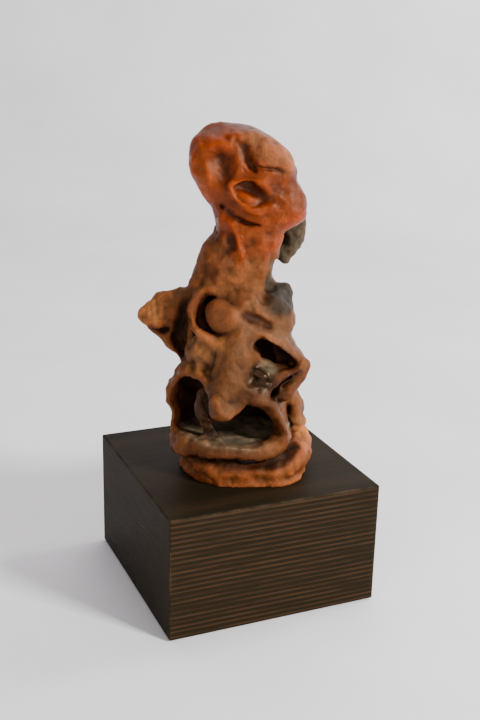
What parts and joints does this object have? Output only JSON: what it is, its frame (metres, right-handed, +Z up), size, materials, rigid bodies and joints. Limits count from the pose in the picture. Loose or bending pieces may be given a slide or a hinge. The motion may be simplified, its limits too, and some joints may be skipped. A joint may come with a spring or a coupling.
{
  "type": "clay sculpture",
  "caption": "Abstract hollow hand-built terracotta form with an egg-shaped head lobe, standing on a dark stained square wooden block.",
  "frame": {"origin": "centre of the underside of the felt below the wooden block", "axes": "+Z up, +X to the right along the block's front face and its grain, -Y out of the block's front face"},
  "size_m": [0.152, 0.152, 0.3245],
  "materials": {
    "stained_wood": "dark stain, satin, worn at the edges",
    "felt": "black felt",
    "steel": "zinc plated",
    "plaster": "set plaster",
    "clay": "fired clay with a dark brown wash",
    "bright_clay": "bare orange fired clay",
    "waxed_clay": "fired clay, waxed and burnished",
    "matte_clay": "fired clay, matt and tool-marked",
    "dark_clay": "dark glossy clay",
    "glazed_clay": "thin grey-green glaze",
    "grey_clay": "smoked grey clay",
    "pale_clay": "pale unwashed clay",
    "orange_slip": "glossy orange slip"
  },
  "bodies": {
    "root": {"plinth_block": "stained_wood", "base_felt": "felt", "threaded_rod": "steel", "rod_nut": "steel", "rod_washer": "steel", "anchor_plug": "plaster", "foot_slab": "bright_clay", "base_roll": "clay", "lower_lip": "clay", "cave_floor": "glazed_clay", "left_wall": "clay", "right_wall": "clay", "chest_wall": "clay", "back_wall": "clay", "neck_wall": "matte_clay", "left_cave_rim": "clay", "right_buttress": "waxed_clay", "cheek_pad": "waxed_clay", "nose_ridge": "waxed_clay", "nose_nodule": "waxed_clay", "cave_column": "clay", "ball": "waxed_clay", "socket_rim": "matte_clay", "left_lobe": "matte_clay", "lobe_flap": "matte_clay", "fold_upper": "waxed_clay", "fold_lower": "waxed_clay", "fold_floor": "glazed_clay", "pebble_upper": "dark_clay", "pebble_lower": "dark_clay", "shoulder_ledge": "waxed_clay", "grey_lump": "grey_clay", "bowl_floor": "grey_clay", "head": "orange_slip", "brow_pad": "orange_slip", "eye_pellet": "orange_slip", "throat_lip": "matte_clay", "jaw_flap": "grey_clay", "rear_lump_upper": "pale_clay", "rear_lump_middle": "pale_clay", "rear_lump_lower": "pale_clay", "rear_strut_tall": "clay", "rear_strut_short": "clay", "rear_foot_block": "bright_clay", "back_ridge": "clay"}
  },
  "joints": []
}
